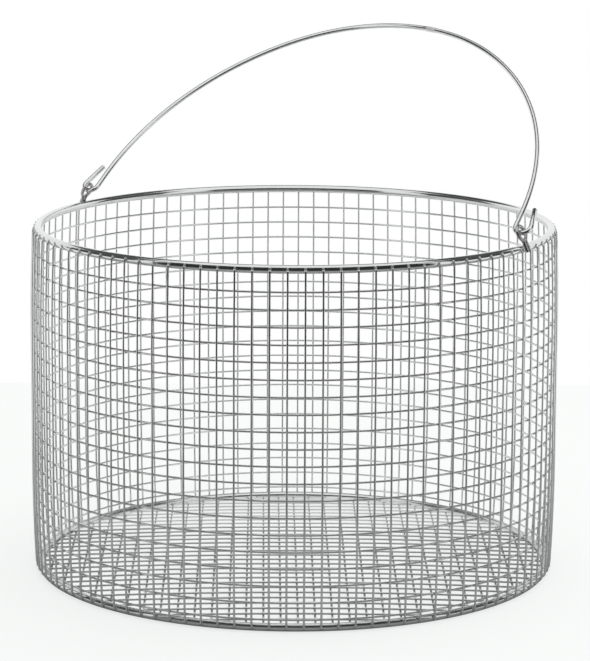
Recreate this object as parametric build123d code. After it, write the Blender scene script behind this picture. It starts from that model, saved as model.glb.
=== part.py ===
from build123d import *
import math
import os

# Round welded wire basket with a hooked bail handle. Millimetres, +Z up.
# The origin is on the surface that the basket stands on, below the middle of its floor.
# The bail hinges about a line parallel to X, through its two eyelets.

# Driving dimensions: wire mesh
mesh_pitch = 8.0  # between neighbouring wires of the wall and of the floor
mesh_wire = 1.0  # diameter of the mesh wire
upright_circle_radius = 127.0  # of the uprights' centrelines, at the two rings
wall_bulge = 1.3  # how much further out the wall stands between the rings
wall_draw_in = 50.0  # height over which the wall is drawn in to each ring
seam_lap = 2.04  # how far the rolled wall sheet laps past its own first upright
hoop_end_gap = 0.3  # between the two cut ends of a hoop, at the seam
first_hoop_drop = 10.1  # from the rim ring's centreline down to the highest hoop
upright_above_rim = 0.5  # upright ends above the rim ring's centreline
upright_below_base = 0.7  # upright ends below the base ring's centreline

# Driving dimensions: rings
ring_wire = 4.0  # diameter of the rim ring's and base ring's wire
ring_spacing = 166.2  # between the centrelines of the rim ring and the base ring

# Driving dimensions: floor
floor_rise = 3.0  # how far the middle of the floor stands above its edge
floor_turn = 32.4  # degrees from X to the upper layer's wires
floor_seat_depth = 1.35  # lower layer's centreline below the base ring's, at the edge
floor_offset_upper = 0.6  # from the axis to the nearest wire of the upper layer
floor_offset_lower = 1.2  # from the axis to the nearest wire of the lower layer
floor_shortest_wire = 30.0  # a shorter wire than this isn't part of the disc

# Driving dimensions: eyelets
eyelet_wire = 1.8
eyelet_lean = 26.0  # degrees that the loop leans in over the rim ring
eyelet_rise = 6.8  # from the weld line to the middle of the loop
eyelet_slack = 1.35  # play of the bail's wire inside the loop, all round
eyelet_neck_radius = 2.5  # bend from the legs out into the loop
eyelet_leg_gap = 0.1  # between the two legs
eyelet_foot = 2.7  # legs below the weld line
eyelet_side_room = 0.2  # least room between an eyelet's foot and an upright

# Driving dimensions: bail handle
bail_wire = 2.5
bail_height = 132.6  # from the hinge line to the top of the arch, on the centreline
bail_top_radius = 109.0
bail_leg_lean = 3.0  # degrees that each leg leans in
bail_leg_length = 8.0  # straight run above each hook, or longer for a flat arch
bail_join_lowest = 45.0  # least degrees above the hinge line where a side arc meets the top arc
bail_lie_back = 51.9  # degrees from upright, towards +Y
hook_slack = 1.85  # play of the eyelet's wire inside the hook
hook_inset = 0.7  # hook's middle towards the axis from the loop's middle
stub_length_right = 11.0
stub_length_left = 12.6
stub_lean_right = 14.0  # degrees that the free end leans back to its leg
stub_lean_left = 19.0

# Wires that are welded to each other stand this far apart
weld_gap = 0.01

# Worked out from the driving dimensions: rings and wall
base_z = ring_wire / 2
rim_z = base_z + ring_spacing
wall_radius = upright_circle_radius + wall_bulge
draw_in_radius = (wall_draw_in**2 + wall_bulge**2) / (2 * wall_bulge)
hoop_clearance = (ring_wire + mesh_wire) / 2
hoop_count = 1 + math.floor((ring_spacing - first_hoop_drop - hoop_clearance) / mesh_pitch)
wall_cells = 2 * round(math.pi * upright_circle_radius / mesh_pitch)
lap_angle = math.degrees(seam_lap / upright_circle_radius)
cell_angle = (360 + lap_angle) / wall_cells
first_upright_angle = 180 + (cell_angle - lap_angle) / 2


def inside_wall(z, depth):
    """The radius, at this height, of a ring that lies this deep inside the uprights' centrelines."""
    past_straight = max(0, base_z + wall_draw_in - z, z - rim_z + wall_draw_in)
    return wall_radius - draw_in_radius + math.sqrt((draw_in_radius - depth) ** 2 - past_straight**2)


# Worked out from the driving dimensions: rings, eyelets and hinge line
ring_radius = inside_wall(rim_z, (mesh_wire + ring_wire) / 2 + weld_gap)
lean = math.radians(eyelet_lean)
weld_reach = (ring_wire + eyelet_wire) / 2 + weld_gap
weld_line_radius = ring_radius + weld_reach * math.cos(lean)
weld_line_z = rim_z + weld_reach * math.sin(lean)
loop_radius = (bail_wire + eyelet_wire) / 2 + eyelet_slack
leg_offset = (eyelet_wire + eyelet_leg_gap) / 2
loop_middle_radius = weld_line_radius - eyelet_rise * math.sin(lean)
hinge_z = weld_line_z + eyelet_rise * math.cos(lean)
foot_z = weld_line_z - eyelet_foot * math.cos(lean) - eyelet_wire / 2


def point_on(centre, radius, degrees):
    """The point of a flat circle at this angle."""
    angle = math.radians(degrees)
    return (centre[0] + radius * math.cos(angle), centre[1] + radius * math.sin(angle))


def arc(centre, radius, start, end):
    """A flat arc between two angles in degrees."""
    middle = point_on(centre, radius, (start + end) / 2)
    return ThreePointArc(point_on(centre, radius, start), middle, point_on(centre, radius, end))


def bent_wire(edges, diameter):
    """One round wire that follows flat edges joined end to end."""
    path = Wire(edges)
    section = Plane(origin=path @ 0, z_dir=path % 0) * Circle(diameter / 2)
    return sweep(section, path=path).solid()


def closed_ring(z):
    """A thick ring, butt welded and dressed, so that no joint is left."""
    return Pos(0, 0, z) * Solid.make_torus(ring_radius, ring_wire / 2)


def hoop(z):
    """One hoop of the wall mesh: it lies inside the uprights, and its ends meet at the seam."""
    radius = inside_wall(z, mesh_wire + weld_gap)
    gap_angle = math.degrees(hoop_end_gap / radius)
    start = first_upright_angle + (lap_angle + gap_angle) / 2
    section = Plane.XZ * Pos(radius, 0) * Circle(mesh_wire / 2)
    turned = revolve(section, Axis.Z, 360 - gap_angle)
    return (Pos(0, 0, z) * Rot(0, 0, start) * turned).solid()


def upright_top(angle):
    """The height where an upright ends: on the rim ring, or short of an eyelet's foot that it would meet."""
    side = upright_circle_radius * abs(math.sin(math.radians(angle)))
    needed = leg_offset + (eyelet_wire + mesh_wire) / 2 + eyelet_side_room
    if side < needed:
        return foot_z - eyelet_side_room
    return rim_z + upright_above_rim


def uprights():
    """Every upright of the wall. The last one stands beside the first, where the sheet laps itself."""
    wires = []
    centre_x = wall_radius - draw_in_radius
    low_centre = (centre_x, base_z + wall_draw_in)
    high_centre = (centre_x, rim_z - wall_draw_in)
    foot_drop = wall_draw_in + upright_below_base
    foot_angle = math.degrees(math.asin(foot_drop / draw_in_radius))
    for index in range(wall_cells + 1):
        angle = first_upright_angle + index * cell_angle
        top_rise = upright_top(angle) - high_centre[1]
        top_angle = math.degrees(math.asin(top_rise / draw_in_radius))
        edges = [
            arc(low_centre, draw_in_radius, -foot_angle, 0),
            Line((wall_radius, low_centre[1]), (wall_radius, high_centre[1])),
            arc(high_centre, draw_in_radius, 0, top_angle),
        ]
        wires.append(Rot(0, 0, angle) * (Plane.XZ * bent_wire(edges, mesh_wire)))
    return wires


def floor_layer(edge_z, offset, turn):
    """Parallel bowed wires cut to the inside of the base ring. Together they lie on a shallow dome."""
    edge_radius = ring_radius - ring_wire / 2 - weld_gap
    dome_radius = (edge_radius**2 + floor_rise**2) / (2 * floor_rise)
    dome_z = edge_z + floor_rise - dome_radius
    wires = []
    steps = math.ceil(edge_radius / mesh_pitch)
    for index in range(-steps, steps + 1):
        side = offset + index * mesh_pitch
        reach = edge_radius**2 - (abs(side) + mesh_wire / 2) ** 2
        if reach <= (floor_shortest_wire / 2) ** 2:
            continue
        bow_radius = math.sqrt(dome_radius**2 - side**2)
        half_angle = math.degrees(math.asin(math.sqrt(reach) / bow_radius))
        wire = bent_wire([arc((0, 0), bow_radius, 90 - half_angle, 90 + half_angle)], mesh_wire)
        upright_plane = Plane(origin=(0, side, dome_z), x_dir=(1, 0, 0), z_dir=(0, -1, 0))
        wires.append(Rot(0, 0, turn) * (upright_plane * wire))
    return wires


def eyelet():
    """The eyelet at +X: two legs on the rim ring's outer shoulder, a neck and an open loop."""
    neck_side = leg_offset + eyelet_neck_radius
    neck_drop = math.sqrt((eyelet_neck_radius + loop_radius) ** 2 - neck_side**2)
    neck_height = eyelet_rise - neck_drop
    turn = math.degrees(math.atan2(neck_drop, neck_side))
    loop_centre = (0, eyelet_rise)
    edges = [
        Line((leg_offset, -eyelet_foot), (leg_offset, neck_height)),
        arc((neck_side, neck_height), eyelet_neck_radius, 180, 180 - turn),
        arc(loop_centre, loop_radius, -turn, 180 + turn),
        arc((-neck_side, neck_height), eyelet_neck_radius, turn, 0),
        Line((-leg_offset, neck_height), (-leg_offset, -eyelet_foot)),
    ]
    shoulder = Plane(
        origin=(weld_line_radius, 0, weld_line_z),
        x_dir=(0, 1, 0),
        z_dir=(math.cos(lean), 0, math.sin(lean)),
    )
    return shoulder * bent_wire(edges, eyelet_wire)


def bail():
    """The handle: an arch of three arcs, two short legs, and a hook with a free end at each foot."""
    hook_radius = (bail_wire + eyelet_wire) / 2 + hook_slack
    hook_centre = (loop_middle_radius - hook_inset, hook_radius)
    top_centre = (0, bail_height - bail_top_radius)
    leg_foot = point_on(hook_centre, hook_radius, 180 + bail_leg_lean)

    # Seen from the middle of the top arc: how far out the leg's line is, and how far up it the foot is
    leg_angle = math.radians(bail_leg_lean)
    foot_x = leg_foot[0] - top_centre[0]
    foot_y = leg_foot[1] - top_centre[1]
    leg_out = foot_x * math.cos(leg_angle) + foot_y * math.sin(leg_angle)
    foot_up = foot_y * math.cos(leg_angle) - foot_x * math.sin(leg_angle)

    # A flat arch needs a longer leg, so that its side arc still turns as far as the lowest join
    turn = math.radians(bail_join_lowest - bail_leg_lean)
    tightest = (leg_out - bail_top_radius * math.cos(turn)) / (1 - math.cos(turn))
    needed_leg = (bail_top_radius - tightest) * math.sin(turn) - foot_up
    leg_length = max(bail_leg_length, needed_leg)
    leg_head = point_on(leg_foot, leg_length, 90 + bail_leg_lean)

    # The side arc leaves the leg's head along the leg and runs into the top arc
    head_up = foot_up + leg_length
    side_radius = (bail_top_radius**2 - leg_out**2 - head_up**2) / (2 * (bail_top_radius - leg_out))
    side_centre = point_on(leg_head, side_radius, 180 + bail_leg_lean)
    excess = side_radius - bail_top_radius
    join_x = (top_centre[0] - side_centre[0]) / excess
    join_y = (top_centre[1] - side_centre[1]) / excess
    join = math.degrees(math.atan2(join_y, join_x))

    def side_edges(stub_lean, stub_length):
        stub_foot = point_on(hook_centre, hook_radius, stub_lean)
        stub_tip = point_on(stub_foot, stub_length, 90 + stub_lean)
        return [
            Line(stub_tip, stub_foot),
            arc(hook_centre, hook_radius, stub_lean, bail_leg_lean - 180),
            Line(leg_foot, leg_head),
            arc(side_centre, side_radius, bail_leg_lean, join),
        ]

    left_side = side_edges(stub_lean_left, stub_length_left)
    left_edges = [mirror(edge, Plane.YZ).edge() for edge in left_side]
    right_edges = side_edges(stub_lean_right, stub_length_right)
    top_edge = arc(top_centre, bail_top_radius, join, 180 - join)
    wire = bent_wire(right_edges + [top_edge] + left_edges, bail_wire)
    back = math.radians(bail_lie_back)
    lying_plane = Plane(
        origin=(0, 0, hinge_z),
        x_dir=(1, 0, 0),
        z_dir=(0, -math.cos(back), math.sin(back)),
    )
    return lying_plane * wire


def write(name, solids):
    """One STEP file for each sub-part."""
    shape = solids[0] if len(solids) == 1 else Compound(children=solids)
    export_step(shape, f"parts/{name}.step")


os.makedirs("parts", exist_ok=True)

write("rim_ring", [closed_ring(rim_z)])
write("base_ring", [closed_ring(base_z)])

for number in range(1, hoop_count + 1):
    hoop_z = rim_z - first_hoop_drop - (number - 1) * mesh_pitch
    write(f"hoop_{number:02d}", [hoop(hoop_z)])

write("wall_uprights", uprights())

lower_z = base_z - floor_seat_depth
upper_z = lower_z + mesh_wire + weld_gap
write("floor_wires_lower", floor_layer(lower_z, floor_offset_lower, floor_turn - 90))
write("floor_wires_upper", floor_layer(upper_z, floor_offset_upper, floor_turn))

right_eyelet = eyelet()
write("eyelet_right", [right_eyelet])
write("eyelet_left", [mirror(right_eyelet, Plane.YZ)])

write("bail_handle", [bail()])
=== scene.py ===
# %% [markdown]
# # An autoclave basket in Blender
#
# This is a round laboratory basket of welded stainless wire. A mesh of thin uprights and hoops
# stands between two thick rings, a shallow dome of wires makes the floor, and a bail handle
# hooks into two eyelets. The exact solids come first, as a frame that isn't moved. Each kind of
# wire is then made again as a smooth round wire in the same place, with the small things that
# a maker leaves on it: weld spots, cut ends, dressed butt welds and drawing marks.
#
# The order is: frame, sizes, finishes, rings, mesh, floor, eyelets, bail, studio, camera.

import math
import random

import bmesh
import bpy
from mathutils import Euler, Matrix, Vector


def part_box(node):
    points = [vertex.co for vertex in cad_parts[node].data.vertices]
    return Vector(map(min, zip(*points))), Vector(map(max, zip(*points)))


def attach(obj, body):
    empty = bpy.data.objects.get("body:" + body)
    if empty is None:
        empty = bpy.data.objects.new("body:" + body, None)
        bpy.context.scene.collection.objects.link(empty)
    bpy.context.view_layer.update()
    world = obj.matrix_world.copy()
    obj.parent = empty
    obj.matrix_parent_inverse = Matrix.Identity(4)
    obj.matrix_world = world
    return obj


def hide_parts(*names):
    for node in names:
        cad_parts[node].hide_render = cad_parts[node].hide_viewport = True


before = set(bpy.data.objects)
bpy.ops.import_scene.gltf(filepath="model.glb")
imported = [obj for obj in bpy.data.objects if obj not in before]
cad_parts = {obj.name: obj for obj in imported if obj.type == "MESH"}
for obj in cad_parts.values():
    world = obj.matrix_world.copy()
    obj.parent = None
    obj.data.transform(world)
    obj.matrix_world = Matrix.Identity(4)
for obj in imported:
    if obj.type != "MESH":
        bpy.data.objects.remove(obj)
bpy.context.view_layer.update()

# %% [markdown]
# ## Sizes
#
# The frame is in metres. Places are read from the nodes' boxes where a box can give them, so
# that the wires made here lie on the solids. The rest are the basket's own working sizes. The
# bail's wire is a hair thinner than its solid, and so are the sections of the rings and uprights,
# so that the dressed basket stays inside the box of the solids.

# %% Sizes
MESH_WIRE = 0.0010
RING_WIRE = 0.0040
EYELET_WIRE = 0.0018
BAIL_WIRE = 0.00247
WELD_GAP = 0.00001
RING_SECTION = 0.997
UPRIGHT_SECTION = 0.995

rim_low, rim_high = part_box("rim_ring")
base_low, base_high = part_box("base_ring")
wall_low, wall_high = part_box("wall_uprights")
RIM_Z = (rim_low[2] + rim_high[2]) / 2
BASE_Z = (base_low[2] + base_high[2]) / 2
RING_RADIUS = (rim_high[0] - rim_low[0]) / 2 - RING_WIRE / 2
HOOPS = [f"hoop_{number:02d}" for number in range(1, 21)]

PITCH = 0.008
UPRIGHT_RADIUS = 0.1270
WALL_BULGE = 0.0013
DRAW_IN = 0.050
WALL_RADIUS = UPRIGHT_RADIUS + WALL_BULGE
DRAW_IN_RADIUS = (DRAW_IN**2 + WALL_BULGE**2) / (2 * WALL_BULGE)
SEAM_LAP = 0.00204
HOOP_END_GAP = 0.0003
CELLS = 100
LAP_ANGLE = SEAM_LAP / UPRIGHT_RADIUS
CELL_ANGLE = (math.tau + LAP_ANGLE) / CELLS
FIRST_UPRIGHT = math.pi + (CELL_ANGLE - LAP_ANGLE) / 2


def inside_wall(z, depth):
    """The radius, at this height, of a ring that lies this deep inside the uprights' centrelines."""
    past_straight = max(0, BASE_Z + DRAW_IN - z, z - RIM_Z + DRAW_IN)
    return WALL_RADIUS - DRAW_IN_RADIUS + math.sqrt((DRAW_IN_RADIUS - depth) ** 2 - past_straight**2)


print("rim at", round(RIM_Z, 5), "ring radius", round(RING_RADIUS, 5))

# %% [markdown]
# ## Small tools
#
# A bent wire is made by hand in Blender as it is on the bench: a round section is put at one
# end, then pushed straight on or turned about the middle of a bend, again and again. Extrude
# and Spin do just that, and the section stays selected after each, ready for the next move.
# Spin turns clockwise for a positive angle, so the helper gives it the opposite one.


# %% Wire tools
def deselect():
    """Nothing is selected, so that the next operator touches only what it should."""
    if bpy.context.object and bpy.context.object.mode != "OBJECT":
        bpy.ops.object.mode_set(mode="OBJECT")
    bpy.ops.object.select_all(action="DESELECT")


def pick(obj):
    """One object alone is selected and active."""
    deselect()
    obj.select_set(True)
    bpy.context.view_layer.objects.active = obj


def settle(obj):
    """Puts an object's place into its mesh, so that its own origin is the frame's."""
    pick(obj)
    bpy.ops.object.transform_apply(location=True, rotation=True, scale=True)


def start_wire(name, diameter, sides, place, along):
    """A filled round section at one end of a wire, left in edit mode with all of it selected."""
    deselect()
    turn = Vector(along).to_track_quat("Z", "Y").to_euler()
    bpy.ops.mesh.primitive_circle_add(
        vertices=sides, radius=diameter / 2, fill_type="NGON", location=place, rotation=turn
    )
    obj = bpy.context.object
    obj.name = name
    obj.data.name = name
    settle(obj)
    bpy.ops.object.mode_set(mode="EDIT")
    bpy.ops.mesh.select_all(action="SELECT")
    return obj


def push(shift):
    """The selected end goes straight on by this much."""
    bpy.ops.mesh.extrude_region_move(TRANSFORM_OT_translate={"value": tuple(shift)})


def bend(centre, axis, degrees, steps):
    """The selected end is turned about a centre, counter-clockwise about the axis."""
    bpy.ops.mesh.spin(steps=steps, angle=-math.radians(degrees), center=tuple(centre), axis=tuple(axis))


def finish_wire(obj, smooth_angle=50):
    """Out of edit mode, faces outwards, smooth along the wire and crisp at its cut ends."""
    bpy.ops.mesh.select_all(action="SELECT")
    bpy.ops.mesh.remove_doubles(threshold=1e-6)
    bpy.ops.mesh.normals_make_consistent(inside=False)
    bpy.ops.object.mode_set(mode="OBJECT")
    pick(obj)
    bpy.ops.object.shade_smooth_by_angle(angle=math.radians(smooth_angle))
    print(obj.name, len(obj.data.polygons), "faces")
    return obj


def circling_copies(obj, count, step):
    """An array about the Z axis: an empty turned by one step carries each copy on from the last."""
    deselect()
    bpy.ops.object.empty_add(rotation=(0, 0, step))
    turner = bpy.context.object
    pick(obj)
    array = obj.modifiers.new("around", "ARRAY")
    array.use_relative_offset = False
    array.use_object_offset = True
    array.offset_object = turner
    array.count = count
    bpy.ops.object.modifier_apply(modifier=array.name)
    bpy.data.objects.remove(turner)
    return obj


# %% [markdown]
# ## Stainless steel wire
#
# Electropolished wire is a bright metal with very fine lines along its length, left by the
# drawing die, and a slightly cloudy polish. The lines are too fine to model, so a node group
# makes them: it takes a coordinate that runs along the wire, stretches a noise far along it and
# gives back a value for the colour, one for the roughness and one for the bump. The group is
# built once, and each finish places it with its own values. Wires that go round the basket
# need that coordinate bent round the axis first, which a second group does.

# %% Group: coordinate round the axis
def new_group(name, inputs, outputs):
    """A node group with named sockets: (name, socket type, value)."""
    group = bpy.data.node_groups.new(name, "ShaderNodeTree")
    for title, kind, value in inputs:
        socket = group.interface.new_socket(name=title, in_out="INPUT", socket_type=kind)
        if value is not None:
            socket.default_value = value
    for title, kind in outputs:
        group.interface.new_socket(name=title, in_out="OUTPUT", socket_type=kind)
    return group, group.nodes.new("NodeGroupInput"), group.nodes.new("NodeGroupOutput")


def math_node(tree, operation, first, second=None):
    """One Math node, fed by sockets or plain numbers."""
    node = tree.nodes.new("ShaderNodeMath")
    node.operation = operation
    for socket, value in zip(node.inputs, (first, second)):
        if value is None:
            continue
        if hasattr(value, "links"):
            tree.links.new(value, socket)
        else:
            socket.default_value = value
    return node.outputs[0]


def build_round_group():
    """(x, y, z) becomes (angle x radius, distance out, z), so a hoop lies along the first axis."""
    group, start, end = new_group(
        "round the axis",
        [("Position", "NodeSocketVector", None), ("Radius", "NodeSocketFloat", UPRIGHT_RADIUS)],
        [("Position", "NodeSocketVector")],
    )
    split = group.nodes.new("ShaderNodeSeparateXYZ")
    join = group.nodes.new("ShaderNodeCombineXYZ")
    group.links.new(start.outputs["Position"], split.inputs[0])
    angle = math_node(group, "ARCTAN2", split.outputs[1], split.outputs[0])
    length = math_node(group, "MULTIPLY", angle, start.outputs["Radius"])
    across = math_node(group, "MULTIPLY", split.outputs[0], split.outputs[0])
    deep = math_node(group, "MULTIPLY", split.outputs[1], split.outputs[1])
    out = math_node(group, "SQRT", math_node(group, "ADD", across, deep))
    group.links.new(length, join.inputs[0])
    group.links.new(out, join.inputs[1])
    group.links.new(split.outputs[2], join.inputs[2])
    group.links.new(join.outputs[0], end.inputs["Position"])
    return group


round_group = build_round_group()
print("group", round_group.name)

# %% [markdown]
# The second group is the surface itself. Two noises share one stretched coordinate: a fine one
# for the drawing lines and a broad one for the cloudy polish. A third, unstretched, gives the
# tiny pits and water marks that show when a wire is looked at closely.

# %% Group: drawn steel
def noise_node(tree, vector, scale, detail):
    """One noise texture on a coordinate."""
    node = tree.nodes.new("ShaderNodeTexNoise")
    node.inputs["Scale"].default_value = scale
    node.inputs["Detail"].default_value = detail
    tree.links.new(vector, node.inputs["Vector"])
    return node.outputs["Fac"]


def spread(tree, value, low, high):
    """A noise value, drawn out so that it runs from low to high."""
    node = tree.nodes.new("ShaderNodeMapRange")
    node.inputs["From Min"].default_value = 0.3
    node.inputs["From Max"].default_value = 0.7
    for title, bound in (("To Min", low), ("To Max", high)):
        if hasattr(bound, "links"):
            tree.links.new(bound, node.inputs[title])
        else:
            node.inputs[title].default_value = bound
    tree.links.new(value, node.inputs["Value"])
    return node.outputs[0]


def build_steel_group():
    """Colour, roughness and height of drawn and polished wire, along the coordinate's first axis."""
    group, start, end = new_group(
        "drawn steel",
        [
            ("Position", "NodeSocketVector", None),
            ("Bright metal", "NodeSocketColor", None),
            ("Dull metal", "NodeSocketColor", None),
            ("Smoothest", "NodeSocketFloat", None),
            ("Roughest", "NodeSocketFloat", None),
        ],
        [("Color", "NodeSocketColor"), ("Roughness", "NodeSocketFloat"), ("Height", "NodeSocketFloat")],
    )
    stretch = group.nodes.new("ShaderNodeMapping")
    stretch.inputs["Scale"].default_value = (0.03, 1, 1)
    group.links.new(start.outputs["Position"], stretch.inputs["Vector"])
    lines = noise_node(group, stretch.outputs[0], 4200, 4)
    clouds = noise_node(group, stretch.outputs[0], 500, 3)
    pits = noise_node(group, start.outputs["Position"], 2600, 2)

    fine_tone = math_node(group, "MULTIPLY", lines, 0.55)
    broad_tone = math_node(group, "MULTIPLY", clouds, 0.45)
    tone = math_node(group, "ADD", fine_tone, broad_tone)
    mix = group.nodes.new("ShaderNodeMix")
    mix.data_type = "RGBA"
    group.links.new(spread(group, tone, 0, 1), mix.inputs["Factor"])
    group.links.new(start.outputs["Dull metal"], mix.inputs["A"])
    group.links.new(start.outputs["Bright metal"], mix.inputs["B"])
    group.links.new(mix.outputs["Result"], end.inputs["Color"])

    rough = spread(group, clouds, start.outputs["Roughest"], start.outputs["Smoothest"])
    group.links.new(rough, end.inputs["Roughness"])
    line_height = math_node(group, "MULTIPLY", lines, 0.7)
    pit_height = math_node(group, "MULTIPLY", pits, 0.3)
    height = math_node(group, "ADD", line_height, pit_height)
    group.links.new(height, end.inputs["Height"])
    return group


steel_group = build_steel_group()
print("group", steel_group.name)

# %% [markdown]
# Each finish is one Principled BSDF with the group in front of it. What is the same all over,
# such as the full metal, is set on the shader itself. The layout tells the finish where the wire
# runs: straight up, round the axis, or along a turned direction.

# %% Finishes
def steel(name, layout, bright, dull, smoothest, roughest, turn=(0, 0, 0), bump=0.25):
    """A material of drawn steel. layout is 'round' for wire that circles the axis, else 'straight'."""
    material = bpy.data.materials.new(name)
    material.use_nodes = True
    tree = material.node_tree
    shader = tree.nodes["Principled BSDF"]
    shader.inputs["Metallic"].default_value = 1.0
    place = tree.nodes.new("ShaderNodeTexCoord")
    mapping = tree.nodes.new("ShaderNodeMapping")
    mapping.vector_type = "POINT"
    mapping.inputs["Rotation"].default_value = turn
    tree.links.new(place.outputs["Object"], mapping.inputs["Vector"])
    position = mapping.outputs[0]
    if layout == "round":
        around = tree.nodes.new("ShaderNodeGroup")
        around.node_tree = round_group
        tree.links.new(position, around.inputs["Position"])
        position = around.outputs["Position"]
    surface = tree.nodes.new("ShaderNodeGroup")
    surface.node_tree = steel_group
    surface.inputs["Bright metal"].default_value = (*bright, 1)
    surface.inputs["Dull metal"].default_value = (*dull, 1)
    surface.inputs["Smoothest"].default_value = smoothest
    surface.inputs["Roughest"].default_value = roughest
    tree.links.new(position, surface.inputs["Position"])
    relief = tree.nodes.new("ShaderNodeBump")
    relief.inputs["Strength"].default_value = bump
    relief.inputs["Distance"].default_value = 0.00002
    tree.links.new(surface.outputs["Height"], relief.inputs["Height"])
    tree.links.new(surface.outputs["Color"], shader.inputs["Base Color"])
    tree.links.new(surface.outputs["Roughness"], shader.inputs["Roughness"])
    tree.links.new(relief.outputs[0], shader.inputs["Normal"])
    return material


UPRIGHT_TURN = (0, math.pi / 2, 0)
FLOOR_TURN = math.radians(32.4)
LIE_BACK = math.radians(51.9)
MESH_LOOK = ((0.86, 0.87, 0.87), (0.72, 0.73, 0.73), 0.10, 0.22)
UPPER_TURN = (0, 0, -FLOOR_TURN)
UNDER_TURN = (0, 0, math.pi / 2 - FLOOR_TURN)

ring_steel = steel("ring steel", "round", (0.80, 0.81, 0.81), (0.68, 0.69, 0.69), 0.08, 0.18)
hoop_steel = steel("hoop steel", "round", *MESH_LOOK)
upright_steel = steel("upright steel", "straight", *MESH_LOOK, turn=UPRIGHT_TURN)
upper_floor_steel = steel("upper floor steel", "straight", *MESH_LOOK, turn=UPPER_TURN)
lower_floor_steel = steel("lower floor steel", "straight", *MESH_LOOK, turn=UNDER_TURN)
eyelet_steel = steel(
    "eyelet steel", "straight", (0.62, 0.62, 0.61), (0.44, 0.44, 0.43), 0.16, 0.34, turn=UPRIGHT_TURN
)
weld_steel = steel(
    "weld steel", "straight", (0.74, 0.73, 0.71), (0.54, 0.53, 0.51), 0.26, 0.46, bump=0.6
)
# Near-white, rough steel for the beads where the uprights end on the rings: partly the welds' dull
# steel, partly a painted highlight for the light those ends catch.
painted_highlight_tip_steel = steel(
    "painted highlight tip steel", "straight", (0.96, 0.96, 0.95), (0.86, 0.86, 0.85), 0.55, 0.75, bump=0.5
)
print("finishes", len(bpy.data.materials))


def dress(obj, material, body, slot, *nodes):
    """Gives a finished piece its finish and its body, and hides the solids that it stands for. The slot
    is not used.
    """
    obj.data.materials.clear()
    obj.data.materials.append(material)
    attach(obj, body)
    if nodes:
        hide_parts(*nodes)


# %% [markdown]
# ## Rim and base ring
#
# Both rings are one thick wire, rolled to a circle, butt welded and dressed smooth. A torus
# primitive would do, but a section spun once round the axis is the same move that makes every
# other wire here. The section is left open, since a closed ring has no ends, and the last
# section is merged with the first.

# %% Rings
def ring(name, z):
    """A closed ring of thick wire."""
    obj = start_wire(name, RING_WIRE * RING_SECTION, 28, (RING_RADIUS, 0, z), (0, 1, 0))
    bpy.ops.mesh.delete(type="ONLY_FACE")
    bpy.ops.mesh.select_all(action="SELECT")
    bend((0, 0, 0), (0, 0, 1), 360, 216)
    return finish_wire(obj, 180)


for node, z in (("rim_ring", RIM_Z), ("base_ring", BASE_Z)):
    dress(ring(f"{node}_wire", z), ring_steel, "basket", "ring_wire", node)

# %% [markdown]
# ## Hoops
#
# The wall starts as a flat sheet of welded mesh. Rolled up, its crosswise wires become hoops
# that lie inside the uprights, and each one's two cut ends meet at the seam. The wall bulges a
# little between the rings, so each hoop is spun at its own radius, at its solid's height.

# %% Hoops
def hoop_height(node):
    """The height of a hoop's centreline."""
    low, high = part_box(node)
    return (low[2] + high[2]) / 2


def hoop(node):
    """One hoop, open at the seam."""
    z = hoop_height(node)
    radius = inside_wall(z, MESH_WIRE + WELD_GAP)
    end_gap = HOOP_END_GAP / radius
    start = FIRST_UPRIGHT + (LAP_ANGLE + end_gap) / 2
    out = Vector((math.cos(start), math.sin(start), 0))
    along = Vector((-out.y, out.x, 0))
    obj = start_wire(f"{node}_wire", MESH_WIRE, 10, out * radius + Vector((0, 0, z)), along)
    bend((0, 0, 0), (0, 0, 1), 360 - math.degrees(end_gap), 150)
    return finish_wire(obj)


for node in HOOPS:
    dress(hoop(node), hoop_steel, "basket", "mesh_wire", node)
print("hoops", len(HOOPS))

# %% [markdown]
# ## Uprights
#
# The uprights stand outside the hoops and are welded to the outside of both rings. Each is
# straight in the middle and bent gently in to the rings. Side cutters leave each end as a slanted
# chisel face, so a bisect cuts both ends of one wire on the slant, with the long edge against the
# ring. An array about the axis makes the other hundred. Hand trimming is never even, so each
# wire's top is then drawn down by its own small amount.

# %% Uprights
CHISEL = Vector((1, 0, 0.9)).normalized()
FOOT_CHISEL = Vector((1, 0, -0.9)).normalized()


def uprights():
    """All the uprights as one mesh, and how many corners one of them has."""
    bottom = wall_low[2]
    top = wall_high[2]
    low_middle = Vector((WALL_RADIUS - DRAW_IN_RADIUS, 0, BASE_Z + DRAW_IN))
    high_middle = Vector((WALL_RADIUS - DRAW_IN_RADIUS, 0, RIM_Z - DRAW_IN))
    foot_turn = math.asin((low_middle.z - bottom) / DRAW_IN_RADIUS)
    head_turn = math.asin((top - high_middle.z) / DRAW_IN_RADIUS)
    out = Vector((math.cos(foot_turn), 0, -math.sin(foot_turn)))
    along = Vector((math.sin(foot_turn), 0, math.cos(foot_turn)))
    foot = low_middle + out * DRAW_IN_RADIUS
    obj = start_wire("wall_upright_wires", MESH_WIRE * UPRIGHT_SECTION, 12, foot, along)
    bend(low_middle, (0, -1, 0), math.degrees(foot_turn), 6)
    push(high_middle - low_middle)
    bend(high_middle, (0, -1, 0), math.degrees(head_turn), 6)
    inner = UPRIGHT_RADIUS - MESH_WIRE / 2
    for point, normal in ((top, CHISEL), (bottom, FOOT_CHISEL)):
        bpy.ops.mesh.select_all(action="SELECT")
        bpy.ops.mesh.bisect(
            plane_co=(inner, 0, point), plane_no=tuple(normal), use_fill=True, clear_outer=True
        )
    finish_wire(obj)
    obj.rotation_euler.z = FIRST_UPRIGHT
    settle(obj)
    corners = len(obj.data.vertices)
    circling_copies(obj, CELLS + 1, CELL_ANGLE)
    return obj, corners


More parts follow.
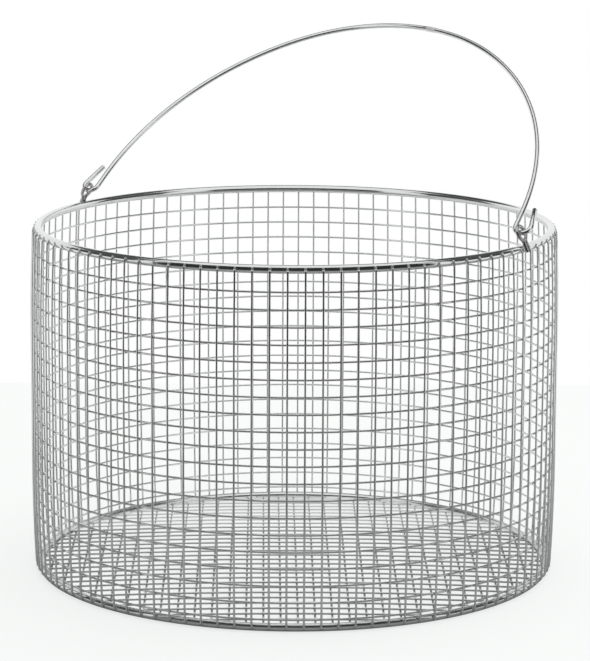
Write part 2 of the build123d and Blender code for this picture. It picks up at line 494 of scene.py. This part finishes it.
UNEVEN_TOP = 0.00045
random.seed(11)
upright_wires, corners = uprights()
vertices = upright_wires.data.vertices
for wire in range(CELLS + 1):
    shortened = random.uniform(0, UNEVEN_TOP)
    for corner in range(wire * corners, (wire + 1) * corners):
        if vertices[corner].co.z > RIM_Z - PITCH:
            vertices[corner].co.z -= shortened
dress(upright_wires, upright_steel, "basket", "mesh_wire", "wall_uprights")
print("uprights", CELLS + 1, "with", corners, "corners each")

# %% [markdown]
# ## Weld spots of the wall
#
# Resistance welding presses each crossing together and melts it, which leaves a small flattened
# bead between the two wires. One bead is an icosphere squeezed in edit mode. A column of them,
# one at each hoop, is joined, and an array round the axis sets them on every crossing. A bead's
# faces are kept to a few, because there are two thousand. Larger beads tie each upright to the
# rings, in a paler and duller steel than the other beads, so that they show against the ring.
# That near-white steel is partly the welds' own dull steel and partly a painted highlight for
# the light that the uprights' cut ends catch where they meet the rings.

# %% Weld spots
def bead(name, place, size, detail=1):
    """One weld bead, an icosphere pressed to its size."""
    deselect()
    bpy.ops.mesh.primitive_ico_sphere_add(subdivisions=detail, radius=0.5, location=(0, 0, 0))
    obj = bpy.context.object
    obj.name = obj.data.name = name
    bpy.ops.object.mode_set(mode="EDIT")
    bpy.ops.mesh.select_all(action="SELECT")
    bpy.ops.transform.resize(value=size)
    bpy.ops.transform.translate(value=place)
    bpy.ops.object.mode_set(mode="OBJECT")
    bpy.ops.object.shade_smooth()
    return obj


def joined(parts, name):
    """Several objects as one."""
    deselect()
    for part in parts:
        part.select_set(True)
    bpy.context.view_layer.objects.active = parts[0]
    bpy.ops.object.join()
    obj = bpy.context.object
    obj.name = obj.data.name = name
    return obj


WALL_BEAD = (0.0007, 0.0011, 0.0011)
FLOOR_BEAD = (0.0011, 0.0011, 0.0007)
END_BEAD = (0.0010, 0.0014, 0.0009)
RING_BEADS = (
    ("rim", RIM_Z + 0.0001, (0.0009, 0.0014, 0.0021)),
    ("base", BASE_Z + 0.0005, (0.0009, 0.0014, 0.0016)),
)

column = []
for node in HOOPS:
    z = hoop_height(node)
    column.append(bead(node, (inside_wall(z, MESH_WIRE / 2), 0, z), WALL_BEAD))
wall_beads = joined(column, "wall_weld_beads")
wall_beads.rotation_euler.z = FIRST_UPRIGHT
settle(wall_beads)
circling_copies(wall_beads, CELLS + 1, CELL_ANGLE)
dress(wall_beads, weld_steel, "basket", "mesh_wire")

contact = UPRIGHT_RADIUS - MESH_WIRE / 2
# The ring beads' near-white steel is a painted highlight on the uprights' cut ends.
for name, z, size in RING_BEADS:
    beads = bead(f"{name}_weld_beads", (contact, 0, z), size, 2)
    beads.rotation_euler.z = FIRST_UPRIGHT
    settle(beads)
    circling_copies(beads, CELLS + 1, CELL_ANGLE)
    dress(beads, painted_highlight_tip_steel, "basket", "mesh_wire")
print("wall welds", len(HOOPS) * (CELLS + 1))

# %% [markdown]
# ## Floor
#
# The floor is a disc of the same mesh, pressed to a shallow dome so that it doesn't drum, and
# welded inside the base ring. Every wire is an arc of a circle in an upright plane, so each is
# spun about its own far-off centre below the basket. The two layers cross at right angles.

# %% Floor
FLOOR_RISE = 0.003
EDGE_RADIUS = RING_RADIUS - RING_WIRE / 2 - WELD_GAP
DOME_RADIUS = (EDGE_RADIUS**2 + FLOOR_RISE**2) / (2 * FLOOR_RISE)
SEAT_DEPTH = 0.00135
LOWER_EDGE_Z = BASE_Z - SEAT_DEPTH
UPPER_EDGE_Z = LOWER_EDGE_Z + MESH_WIRE + WELD_GAP
SHORTEST = 0.030


def dome_z(edge_z, distance):
    """The height of a layer's centreline at this distance from the axis."""
    return edge_z + FLOOR_RISE - DOME_RADIUS + math.sqrt(DOME_RADIUS**2 - distance**2)


def wire_sides(offset):
    """(distance from the axis, half length) of each wire of a layer."""
    steps = math.ceil(EDGE_RADIUS / PITCH)
    found = []
    for index in range(-steps, steps + 1):
        side = offset + index * PITCH
        reach = EDGE_RADIUS**2 - (abs(side) + MESH_WIRE / 2) ** 2
        if reach > (SHORTEST / 2) ** 2:
            found.append((side, math.sqrt(reach)))
    return found


def floor_layer(name, edge_z, offset, turn):
    """One layer of parallel bowed wires, joined into one object."""
    run = Vector((math.cos(turn), math.sin(turn), 0))
    across = Vector((-run.y, run.x, 0))
    made = []
    for number, (side, reach) in enumerate(wire_sides(offset)):
        middle = across * side + Vector((0, 0, edge_z + FLOOR_RISE - DOME_RADIUS))
        bow = math.sqrt(DOME_RADIUS**2 - side**2)
        half = math.asin(reach / bow)
        place = middle - run * reach + Vector((0, 0, bow * math.cos(half)))
        along = run * math.cos(half) + Vector((0, 0, math.sin(half)))
        wire = start_wire(f"{name}_{number}", MESH_WIRE, 10, place, along)
        bend(middle, across, 2 * math.degrees(half), 12)
        made.append(finish_wire(wire))
    return joined(made, name)


OFFSET_UPPER = 0.0006
OFFSET_LOWER = 0.0012
LOWER_TURN = FLOOR_TURN - math.pi / 2
upper_floor = floor_layer("floor_upper_wires", UPPER_EDGE_Z, OFFSET_UPPER, FLOOR_TURN)
lower_floor = floor_layer("floor_lower_wires", LOWER_EDGE_Z, OFFSET_LOWER, LOWER_TURN)
dress(upper_floor, upper_floor_steel, "basket", "mesh_wire", "floor_wires_upper")
dress(lower_floor, lower_floor_steel, "basket", "mesh_wire", "floor_wires_lower")

# %% [markdown]
# The floor's weld beads can't come from one array, because the dome and the round edge change
# from wire to wire. One bead is copied to each crossing, and to each end where a wire meets the
# base ring, with mesh code that reuses the bead's own corners.

# %% Floor weld spots
def scattered(name, template, places):
    """Copies of a small mesh at many places, as one object. Each place is (point, turn about Z)."""
    shape = bmesh.new()
    for point, turn in places:
        before = len(shape.verts)
        shape.from_mesh(template.data)
        shape.verts.ensure_lookup_table()
        move = Matrix.Translation(point) @ Matrix.Rotation(turn, 4, "Z")
        bmesh.ops.transform(shape, matrix=move, verts=shape.verts[before:])
    mesh = bpy.data.meshes.new(name)
    shape.to_mesh(mesh)
    shape.free()
    bpy.data.objects.remove(template)
    obj = bpy.data.objects.new(name, mesh)
    bpy.context.collection.objects.link(obj)
    return obj


upper_run = Vector((math.cos(FLOOR_TURN), math.sin(FLOOR_TURN), 0))
upper_across = Vector((-upper_run.y, upper_run.x, 0))
lower_run = Vector((math.cos(LOWER_TURN), math.sin(LOWER_TURN), 0))
lower_across = Vector((-lower_run.y, lower_run.x, 0))
crossings = []
for upper_side, reach in wire_sides(OFFSET_UPPER):
    for lower_side, other_reach in wire_sides(OFFSET_LOWER):
        point = upper_across * upper_side + lower_across * lower_side
        if point.length < EDGE_RADIUS - MESH_WIRE:
            point.z = (dome_z(UPPER_EDGE_Z, point.length) + dome_z(LOWER_EDGE_Z, point.length)) / 2
            crossings.append((point, FLOOR_TURN))
floor_beads = scattered(
    "floor_weld_beads", bead("floor bead", (0, 0, 0), FLOOR_BEAD), crossings
)
dress(floor_beads, weld_steel, "basket", "mesh_wire")

ends = []
for run, across, offset, edge_z in (
    (upper_run, upper_across, OFFSET_UPPER, UPPER_EDGE_Z),
    (lower_run, lower_across, OFFSET_LOWER, LOWER_EDGE_Z),
):
    for side, reach in wire_sides(offset):
        for way in (-1, 1):
            point = across * side + run * reach * way
            ends.append((point + Vector((0, 0, edge_z)), math.atan2(point.y, point.x)))
end_beads = scattered("floor_end_beads", bead("end bead", (0, 0, 0), END_BEAD, 2), ends)
dress(end_beads, weld_steel, "basket", "mesh_wire")
print("floor welds", len(crossings), "ends", len(ends))

# %% [markdown]
# ## Eyelets
#
# Each eyelet is one short wire bent to an open loop on two legs, like a hairpin. The legs stand
# on the outer shoulder of the rim and the loop leans in over it. It is made here in the plane of
# the loop: up one leg, round a small neck bend, round the loop and down again. The other eyelet
# is a mirrored copy, whose faces are turned the right way out afterwards.

# %% Eyelets
EYELET_LEAN = math.radians(26)
EYELET_RISE = 0.0068
LOOP_SLACK = 0.00135
LOOP_RADIUS = (BAIL_WIRE + EYELET_WIRE) / 2 + LOOP_SLACK
NECK_RADIUS = 0.0025
LEG_GAP = 0.0001
LEG_SIDE = (EYELET_WIRE + LEG_GAP) / 2
EYELET_FOOT = 0.0027
weld_reach = (RING_WIRE + EYELET_WIRE) / 2 + WELD_GAP
weld_line = Vector(
    (RING_RADIUS + weld_reach * math.cos(EYELET_LEAN), 0, RIM_Z + weld_reach * math.sin(EYELET_LEAN))
)
loop_up = Vector((-math.sin(EYELET_LEAN), 0, math.cos(EYELET_LEAN)))
loop_side = Vector((0, 1, 0))
loop_facing = Vector((math.cos(EYELET_LEAN), 0, math.sin(EYELET_LEAN)))


def in_loop(side, up):
    """A point of the eyelet's own plane."""
    return weld_line + loop_side * side + loop_up * up


def mirrored(obj, name):
    """A copy on the other side of the YZ plane, with its own mesh and its faces outwards."""
    copy = obj.copy()
    copy.data = obj.data.copy()
    copy.name = copy.data.name = name
    bpy.context.collection.objects.link(copy)
    copy.scale.x = -1
    settle(copy)
    bpy.ops.object.mode_set(mode="EDIT")
    bpy.ops.mesh.select_all(action="SELECT")
    bpy.ops.mesh.normals_make_consistent(inside=False)
    bpy.ops.object.mode_set(mode="OBJECT")
    return copy


neck_side = LEG_SIDE + NECK_RADIUS
neck_drop = math.sqrt((NECK_RADIUS + LOOP_RADIUS) ** 2 - neck_side**2)
neck_up = EYELET_RISE - neck_drop
neck_turn = math.degrees(math.atan2(neck_drop, neck_side))
eyelet = start_wire("eyelet_right_wire", EYELET_WIRE, 18, in_loop(LEG_SIDE, -EYELET_FOOT), loop_up)
push(loop_up * (EYELET_FOOT + neck_up))
bend(in_loop(neck_side, neck_up), loop_facing, -neck_turn, 8)
bend(in_loop(0, EYELET_RISE), loop_facing, 180 + 2 * neck_turn, 44)
bend(in_loop(-neck_side, neck_up), loop_facing, -neck_turn, 8)
push(loop_up * -(EYELET_FOOT + neck_up))
finish_wire(eyelet)
left_eyelet = mirrored(eyelet, "eyelet_left_wire")
dress(eyelet, eyelet_steel, "basket", "eyelet_wire", "eyelet_right")
dress(left_eyelet, eyelet_steel, "basket", "eyelet_wire", "eyelet_left")

# %% [markdown]
# The weld at an eyelet's foot is laid by hand: a lump each side of the legs and one between
# them, run together and never quite even. Three overlapping icospheres are roughened with a
# random move of their corners, and a voxel remesh joins them to one skin, which is smoothed.

# %% Eyelet welds
FOOT_LUMPS = ((-0.0021, -0.0007, 0.0026, 3), (0.0022, -0.0003, 0.0023, 5), (0, -0.0012, 0.0022, 9))
LUMP_INWARD = 0.0009


def foot_weld(name):
    """The lump of weld metal that ties the right eyelet's legs to the rim."""
    deselect()
    lumps = []
    for side, up, size, seed in FOOT_LUMPS:
        place = in_loop(side, up) - loop_facing * LUMP_INWARD
        bpy.ops.mesh.primitive_ico_sphere_add(subdivisions=3, radius=size / 2, location=place)
        bpy.ops.object.mode_set(mode="EDIT")
        bpy.ops.transform.resize(value=(0.8, 1.2, 1.0), center_override=tuple(place))
        bpy.ops.transform.vertex_random(offset=0.0001, uniform=0.4, normal=1.0, seed=seed)
        bpy.ops.object.mode_set(mode="OBJECT")
        lumps.append(bpy.context.object)
    obj = joined(lumps, name)
    settle(obj)
    skin = obj.modifiers.new("skin", "REMESH")
    skin.mode = "VOXEL"
    skin.voxel_size = 0.00018
    bpy.ops.object.modifier_apply(modifier=skin.name)
    even = obj.modifiers.new("even", "SMOOTH")
    even.iterations = 6
    bpy.ops.object.modifier_apply(modifier=even.name)
    bpy.ops.object.shade_smooth()
    print(name, len(obj.data.polygons), "faces")
    return obj


right_weld = foot_weld("eyelet_right_weld")
left_weld = mirrored(right_weld, "eyelet_left_weld")
for weld in (right_weld, left_weld):
    dress(weld, weld_steel, "basket", "eyelet_wire")

# %% [markdown]
# ## Bail handle
#
# The bail is one wire with a hook at each end and a free stub outside it. It lies back from
# upright, in a plane through the hinge line. Its whole run is bent in one go, from the right
# stub round the hook, up the leg and over the arch, and then the same moves in the other order
# down the left side. The arch is three arcs that run into each other without a corner.

# %% Bail: the bends
HINGE_Z = weld_line.z + EYELET_RISE * loop_up.z
HOOK_SLACK = 0.00185
HOOK_INSET = 0.0007
HOOK_RADIUS = (BAIL_WIRE + EYELET_WIRE) / 2 + HOOK_SLACK
HOOK_MIDDLE = (weld_line.x + EYELET_RISE * loop_up.x - HOOK_INSET, HOOK_RADIUS)
BAIL_HEIGHT = 0.1326
TOP_RADIUS = 0.1090
LEG_LEAN = 3.0
LEG_LENGTH = 0.008
bail_up = Vector((0, math.sin(LIE_BACK), math.cos(LIE_BACK)))
bail_out = Vector((1, 0, 0))
bail_facing = Vector((0, -math.cos(LIE_BACK), math.sin(LIE_BACK)))


def in_bail(side, up):
    """A point of the bail's own plane."""
    return Vector((0, 0, HINGE_Z)) + bail_out * side + bail_up * up


def turned(middle, radius, degrees):
    """A point on a circle in the bail's plane, as (side, up)."""
    angle = math.radians(degrees)
    return (middle[0] + radius * math.cos(angle), middle[1] + radius * math.sin(angle))


leg_foot = turned(HOOK_MIDDLE, HOOK_RADIUS, 180 + LEG_LEAN)
leg_head = turned(leg_foot, LEG_LENGTH, 90 + LEG_LEAN)
top_middle = (0, BAIL_HEIGHT - TOP_RADIUS)
away = (leg_head[0] - top_middle[0], leg_head[1] - top_middle[1])
inward = turned((0, 0), 1, 180 + LEG_LEAN)
along = away[0] * inward[0] + away[1] * inward[1]
side_radius = (TOP_RADIUS**2 - away[0] ** 2 - away[1] ** 2) / (2 * (along + TOP_RADIUS))
side_middle = turned(leg_head, side_radius, 180 + LEG_LEAN)
excess = side_radius - TOP_RADIUS
join = math.degrees(
    math.atan2((top_middle[1] - side_middle[1]) / excess, (top_middle[0] - side_middle[0]) / excess)
)
print("bail: side radius", round(side_radius, 4), "join at", round(join, 2), "degrees")

# %% [markdown]
# The stubs differ a little in length and lean, because each hook is closed by hand. Each stub's
# tip is rounded by two small pushes that shrink the section, so that it doesn't scratch.

# %% Bail: the wire
STUBS = {"right": (0.0110, 14.0), "left": (0.0126, 19.0)}
TIP_SHARE = 0.76
TIP_EDGE = BAIL_WIRE * 0.12


def stub_points(side):
    """Tip and foot of a stub, as (side, up) on the right-hand side."""
    length, stub_lean = STUBS[side]
    foot = turned(HOOK_MIDDLE, HOOK_RADIUS, stub_lean)
    return turned(foot, length, 90 + stub_lean), foot, stub_lean


def bail_wire():
    """The whole bail, bent from its right stub to its left one."""
    tip, foot, stub_lean = stub_points("right")
    start = in_bail(*tip)
    down = (in_bail(*foot) - start).normalized()
    obj = start_wire("bail_handle_wire", BAIL_WIRE * TIP_SHARE, 20, start, down)
    push(down * TIP_EDGE)
    bpy.ops.transform.resize(value=(1 / TIP_SHARE,) * 3, center_override=tuple(start + down * TIP_EDGE))
    push(in_bail(*foot) - start - down * TIP_EDGE)
    bend(in_bail(*HOOK_MIDDLE), bail_facing, -(180 - LEG_LEAN + stub_lean), 28)
    push(in_bail(*leg_head) - in_bail(*leg_foot))
    bend(in_bail(*side_middle), bail_facing, join - LEG_LEAN, 56)
    bend(in_bail(*top_middle), bail_facing, 180 - 2 * join, 48)
    bend(in_bail(-side_middle[0], side_middle[1]), bail_facing, join - LEG_LEAN, 56)
    push(in_bail(-leg_foot[0], leg_foot[1]) - in_bail(-leg_head[0], leg_head[1]))
    tip, foot, stub_lean = stub_points("left")
    bend(in_bail(-HOOK_MIDDLE[0], HOOK_MIDDLE[1]), bail_facing, -(180 - LEG_LEAN + stub_lean), 28)
    end = in_bail(-tip[0], tip[1])
    run = end - in_bail(-foot[0], foot[1])
    push(run - run.normalized() * TIP_EDGE)
    push(run.normalized() * TIP_EDGE)
    bpy.ops.transform.resize(value=(TIP_SHARE,) * 3, center_override=tuple(end))
    return finish_wire(obj)


bail = bail_wire()

# %% [markdown]
# The bail is bent from two pieces of wire, butt welded beside the top of the arch and dressed.
# A trace stays: a slightly thicker place about six millimetres long with a step at one end.
# The rings of corners near it are selected and fattened along their normals. The file also leaves
# the steel there duller and more blotched, so the finish is mixed by the distance from the weld.

# %% Bail: the butt weld
WELD_SIDE = 0.0167
WELD_HALF = 0.0029
WELD_SWELL = 0.00013
ARCH_LOWEST = HINGE_Z + 0.05


def fatten(obj, middle, half, amount):
    """Fattens the arch of a wire where its corners lie within half of middle, along X."""
    pick(obj)
    bpy.ops.object.mode_set(mode="EDIT")
    bpy.ops.mesh.select_all(action="DESELECT")
    bpy.ops.object.mode_set(mode="OBJECT")
    for vertex in obj.data.vertices:
        vertex.select = vertex.co.z > ARCH_LOWEST and abs(vertex.co.x - middle) < half
    bpy.ops.object.mode_set(mode="EDIT")
    bpy.ops.transform.shrink_fatten(value=amount)
    bpy.ops.object.mode_set(mode="OBJECT")


pick(bail)
bpy.ops.object.mode_set(mode="EDIT")
for side in (-WELD_HALF, -WELD_HALF + 0.0004, -0.001, 0.001, WELD_HALF - 0.0012, WELD_HALF):
    bpy.ops.mesh.select_all(action="DESELECT")
    bpy.ops.object.mode_set(mode="OBJECT")
    for face in bail.data.polygons:
        face.select = face.center.z > ARCH_LOWEST and abs(face.center.x - WELD_SIDE) < 0.008
    bpy.ops.object.mode_set(mode="EDIT")
    bpy.ops.mesh.bisect(plane_co=(WELD_SIDE + side, 0, 0), plane_no=(1, 0.0, -0.1))
bpy.ops.object.mode_set(mode="OBJECT")
fatten(bail, WELD_SIDE, WELD_HALF - 0.0001, WELD_SWELL)


def filed_patch(material, middle, half, colour, rough):
    """Mixes a filed, duller steel into a finish within half of middle, with an uneven edge."""
    tree = material.node_tree
    shader = tree.nodes["Principled BSDF"]
    place = tree.nodes.new("ShaderNodeTexCoord").outputs["Object"]
    away = tree.nodes.new("ShaderNodeVectorMath")
    away.operation = "DISTANCE"
    away.inputs[1].default_value = middle
    tree.links.new(place, away.inputs[0])
    wander = half * 0.7
    uneven = math_node(tree, "MULTIPLY", noise_node(tree, place, 1400, 3), wander)
    reach = math_node(tree, "ADD", away.outputs["Value"], uneven)
    mask = tree.nodes.new("ShaderNodeMapRange")
    mask.inputs["From Min"].default_value = half * 0.9 + wander / 2
    mask.inputs["From Max"].default_value = half * 1.1 + wander / 2
    mask.inputs["To Min"].default_value = 1.0
    mask.inputs["To Max"].default_value = 0.0
    tree.links.new(reach, mask.inputs["Value"])
    for socket, kind, value in (("Base Color", "RGBA", (*colour, 1)), ("Roughness", "FLOAT", rough)):
        mix = tree.nodes.new("ShaderNodeMix")
        mix.data_type = kind
        first, second = [item for item in mix.inputs if item.enabled and item.name in ("A", "B")]
        tree.links.new(mask.outputs["Result"], mix.inputs["Factor"])
        tree.links.new(shader.inputs[socket].links[0].from_socket, first)
        second.default_value = value
        result = next(item for item in mix.outputs if item.enabled)
        tree.links.new(result, shader.inputs[socket])


near_weld = [
    vertex.co
    for vertex in bail.data.vertices
    if vertex.co.z > ARCH_LOWEST and abs(vertex.co.x - WELD_SIDE) < WELD_HALF
]
weld_place = sum(near_weld, Vector()) / len(near_weld)
bail_steel = steel("bail steel", "straight", (0.80, 0.81, 0.81), (0.66, 0.67, 0.67), 0.08, 0.20)
filed_patch(bail_steel, tuple(weld_place), WELD_HALF, (0.86, 0.86, 0.85), 0.5)
dress(bail, bail_steel, "bail", "bail_wire", "bail_handle")
print("butt weld at", [round(value, 4) for value in weld_place])
print("bail faces", len(bail.data.polygons))

# %% [markdown]
# ## Studio
#
# The basket stands on a pale table whose far edge lies a little way behind it, in front of a
# white wall. Steel shows only what is round it, so the room matters as much as the metal. The
# world is white to the camera and in reflections, and plain grey as a light. The table glows a
# little to the camera and in reflections, and still takes the basket's shadow. It has no gloss,
# since a glossy table would mirror the cards.

# %% Studio: table and world
TABLE_BACK = 0.421
CAMERA_TURN = math.radians(31.8)
toward_camera = Vector((math.sin(CAMERA_TURN), -math.cos(CAMERA_TURN), 0))


def glow_by_ray(tree, seen, unseen):
    """A factor that is seen for camera, glossy and transmission rays, and unseen for the rest."""
    path = tree.nodes.new("ShaderNodeLightPath")
    shown = math_node(tree, "MAXIMUM", path.outputs["Is Camera Ray"], path.outputs["Is Glossy Ray"])
    shown = math_node(tree, "MAXIMUM", shown, path.outputs["Is Transmission Ray"])
    mix = tree.nodes.new("ShaderNodeMapRange")
    mix.inputs["To Min"].default_value = unseen
    mix.inputs["To Max"].default_value = seen
    tree.links.new(shown, mix.inputs["Value"])
    return mix.outputs[0]


def table():
    """A pale table top, cut off behind the basket."""
    deselect()
    bpy.ops.mesh.primitive_plane_add(size=6, location=(0, 0, 0))
    obj = bpy.context.object
    obj.name = "table"
    obj.rotation_euler.z = CAMERA_TURN
    settle(obj)
    bpy.ops.object.mode_set(mode="EDIT")
    bpy.ops.mesh.select_all(action="SELECT")
    bpy.ops.mesh.bisect(
        plane_co=tuple(-toward_camera * TABLE_BACK), plane_no=tuple(-toward_camera), clear_outer=True
    )
    bpy.ops.object.mode_set(mode="OBJECT")
    material = bpy.data.materials.new("table")
    material.use_nodes = True
    tree = material.node_tree
    shader = tree.nodes["Principled BSDF"]
    shader.inputs["Base Color"].default_value = (0.30, 0.306, 0.302, 1)
    shader.inputs["Roughness"].default_value = 0.9
    shader.inputs["Specular IOR Level"].default_value = 0.0
    shader.inputs["Emission Color"].default_value = (0.985, 1.0, 0.99, 1)
    tree.links.new(glow_by_ray(tree, 0.70, 0.0), shader.inputs["Emission Strength"])
    obj.data.materials.append(material)


table()
world = bpy.data.worlds.new("room")
bpy.context.scene.world = world
world.use_nodes = True
background = world.node_tree.nodes["Background"]
background.inputs["Color"].default_value = (1, 1, 1, 1)
world.node_tree.links.new(glow_by_ray(world.node_tree, 1.0, 0.55), background.inputs["Strength"])
print("table cut off", TABLE_BACK, "behind the axis")

# %% [markdown]
# What draws the dark lines along the wires is a set of dark and grey surfaces that only
# reflections see. A curved dark screen stands close round the front of the basket, with a paler
# strip below it, and a grey mat lies under and before the basket. Two cards stand at the sides,
# and three high ones stand behind. One soft lamp hangs overhead, and its own shape doesn't show
# in the steel.

# %% Studio: cards and lamp
def paint_and_hide(obj, shade):
    """A card's plain dark paint. Only reflections see the card."""
    material = bpy.data.materials.new(obj.name)
    material.use_nodes = True
    shader = material.node_tree.nodes["Principled BSDF"]
    shader.inputs["Base Color"].default_value = (shade, shade, shade, 1)
    shader.inputs["Roughness"].default_value = 0.9
    obj.data.materials.append(material)
    obj.visible_camera = False
    obj.visible_diffuse = False
    obj.visible_shadow = False


def card(name, azimuth, distance, width, low, high, shade):
    """An upright card that faces the basket. Azimuth 0 is toward the camera."""
    angle = CAMERA_TURN + math.radians(azimuth)
    place = Vector((math.sin(angle), -math.cos(angle), 0)) * distance
    deselect()
    bpy.ops.mesh.primitive_plane_add(size=1, location=(0, 0, 0), rotation=(math.pi / 2, 0, 0))
    obj = bpy.context.object
    obj.name = name
    obj.scale = (width, high - low, 1)
    settle(obj)
    obj.location = place + Vector((0, 0, (low + high) / 2))
    obj.rotation_euler.z = angle
    settle(obj)
    paint_and_hide(obj, shade)


def screen(name, radius, half_angle, low, high, shade):
    """A dark curved screen round the front of the basket, which only reflections see."""
    deselect()
    middle = (0, 0, (low + high) / 2)
    bpy.ops.mesh.primitive_cylinder_add(
        vertices=72, radius=radius, depth=high - low, end_fill_type="NOTHING", location=middle
    )
    obj = bpy.context.object
    obj.name = name
    settle(obj)
    bpy.ops.object.mode_set(mode="EDIT")
    bpy.ops.mesh.select_all(action="SELECT")
    bpy.ops.mesh.bisect(
        plane_co=tuple(toward_camera * radius * math.cos(math.radians(half_angle))),
        plane_no=tuple(toward_camera),
        clear_inner=True,
    )
    bpy.ops.object.mode_set(mode="OBJECT")
    paint_and_hide(obj, shade)


def mat(name, near, far, half_width, shade):
    """A grey mat on the table in front of the basket, which only reflections see."""
    deselect()
    bpy.ops.mesh.primitive_plane_add(size=1, location=(0, 0, 0))
    obj = bpy.context.object
    obj.name = name
    obj.scale = (2 * half_width, far - near, 1)
    settle(obj)
    obj.location = toward_camera * (near + far) / 2 + Vector((0, 0, 0.0006))
    obj.rotation_euler.z = CAMERA_TURN
    settle(obj)
    paint_and_hide(obj, shade)


screen("front screen", 0.30, 50, 0.08, 0.40, 0.05)
screen("low front screen", 0.30, 50, 0.0, 0.08, 0.32)
for name, azimuth in (("right card", 90), ("left card", -90)):
    card(name, azimuth, 1.0, 0.8, 0.10, 1.35, 0.10)
for name, azimuth in (("high back card", 180), ("high right card", 130), ("high left card", -130)):
    card(name, azimuth, 1.2, 1.3, 0.92, 2.2, 0.08)
mat("front mat", -0.05, 0.62, 0.40, 0.45)

deselect()
bpy.ops.object.light_add(type="AREA", location=(0.2, 0.3, 1.8))
lamp = bpy.context.object
lamp.data.shape = "DISK"
lamp.data.size = 1.6
lamp.data.energy = 14
lamp.visible_glossy = False
lamp.rotation_euler = (Vector((0, 0, 0.1)) - lamp.location).to_track_quat("-Z", "Y").to_euler()
print("lamp", lamp.data.energy, "W")

# %% [markdown]
# ## Camera
#
# A long lens from a low height, a little above the rim, so that the far side shows through the
# near one. It is rolled by a quarter of a degree. The lens is given by its focal length in
# pixels of a picture 590 wide.

# %% Camera
CAMERA_DISTANCE = 1.46562
CAMERA_HEIGHT = RIM_Z + 0.23282
CAMERA_PITCH = 0.19192
CAMERA_ROLL = 0.00461
CAMERA_YAW = 0.00026
SENSOR = 36
LENS = 3046.0 / 590 * SENSOR

deselect()
bpy.ops.object.camera_add()
camera = bpy.context.object
camera.data.sensor_fit = "HORIZONTAL"
camera.data.sensor_width = SENSOR
camera.data.lens = LENS
camera.data.clip_start = 0.05
aim = Euler((math.pi / 2 - CAMERA_PITCH, 0, CAMERA_TURN - CAMERA_YAW)).to_matrix().to_4x4()
roll = Matrix.Rotation(CAMERA_ROLL, 4, "Z")
stand = toward_camera * CAMERA_DISTANCE + Vector((0, 0, CAMERA_HEIGHT))
camera.matrix_world = Matrix.Translation(stand) @ aim @ roll
bpy.context.scene.camera = camera
bpy.context.scene.view_settings.view_transform = "Standard"
print("camera", tuple(round(value, 4) for value in camera.location))
